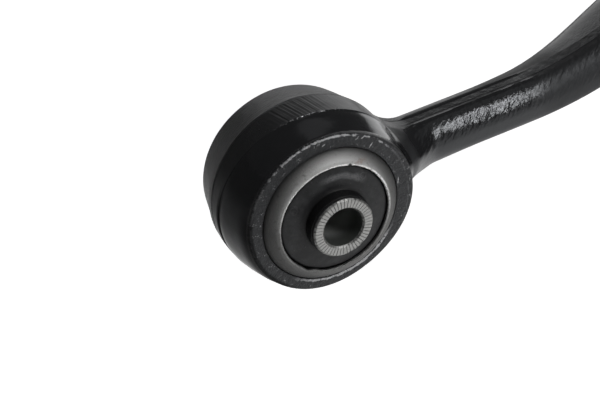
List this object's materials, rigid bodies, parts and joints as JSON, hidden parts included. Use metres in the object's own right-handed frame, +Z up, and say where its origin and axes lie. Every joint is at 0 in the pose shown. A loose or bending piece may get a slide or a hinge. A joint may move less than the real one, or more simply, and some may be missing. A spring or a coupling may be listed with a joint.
{
  "type": "control arm",
  "caption": "Forged single-link suspension control arm with a rubber bush in an eye at one end and a ball joint with boot, tapered stud and lock nut at the other.",
  "frame": {"origin": "middle of the bush bore, on its axis and halfway along the inner sleeve", "axes": "+Y along the bush bore, +X from the bush towards the ball joint, +Z up along the ball stud at rest"},
  "size_m": [0.381, 0.0598, 0.204],
  "materials": {
    "forging_paint": "semi-gloss black paint over a forged surface",
    "sleeve_steel": "bare drawn steel",
    "inner_steel": "bare turned steel",
    "bush_rubber": "matt moulded rubber",
    "stud_steel": "ground steel",
    "seat_plastic": "natural bearing plastic",
    "spring_steel": "hardened spring steel",
    "cover_steel": "black painted pressed steel",
    "boot_rubber": "matt moulded rubber",
    "ring_steel": "drawn spring wire",
    "nut_steel": "zinc-flake coated steel",
    "lock_plastic": "moulded nylon"
  },
  "bodies": {
    "bush_core": {"bush_inner_sleeve": "inner_steel"},
    "arm": {"arm_forging": "forging_paint", "bush_outer_sleeve": "sleeve_steel", "bush_rubber": "bush_rubber", "upper_ball_seat": "seat_plastic", "lower_ball_seat": "seat_plastic", "preload_spring": "spring_steel", "housing_cover": "cover_steel", "boot_lower_ring": "ring_steel"},
    "boot": {"dust_boot": "boot_rubber"},
    "boot_neck": {"boot_upper_ring": "ring_steel"},
    "stud": {"ball_stud": "stud_steel", "stud_nut": "nut_steel", "nut_lock_ring": "lock_plastic"}
  },
  "joints": [
    {"name": "bush_twist", "type": "hinge", "parent": "bush_core", "child": "arm", "pos_m": [0, 0, 0], "axis": [0, 1, 0], "range_deg": [-20, 20], "stiffness_Nm_per_rad": 115},
    {"name": "stud_swing_side", "type": "hinge", "parent": "arm", "child": "boot", "pos_m": [0.32261, 0.006, 0.09508], "axis": [1, 0, 0], "range_deg": [-18, 18], "deforming": ["dust_boot"]},
    {"name": "stud_swing_length", "type": "hinge", "parent": "boot", "child": "boot_neck", "pos_m": [0.32261, 0.006, 0.09508], "axis": [0, 1, 0], "range_deg": [-18, 18], "deforming": ["dust_boot"]},
    {"name": "stud_spin", "type": "hinge", "parent": "boot_neck", "child": "stud", "pos_m": [0.32261, 0.006, 0.09508], "axis": [0, 0, 1], "continuous": true}
  ]
}
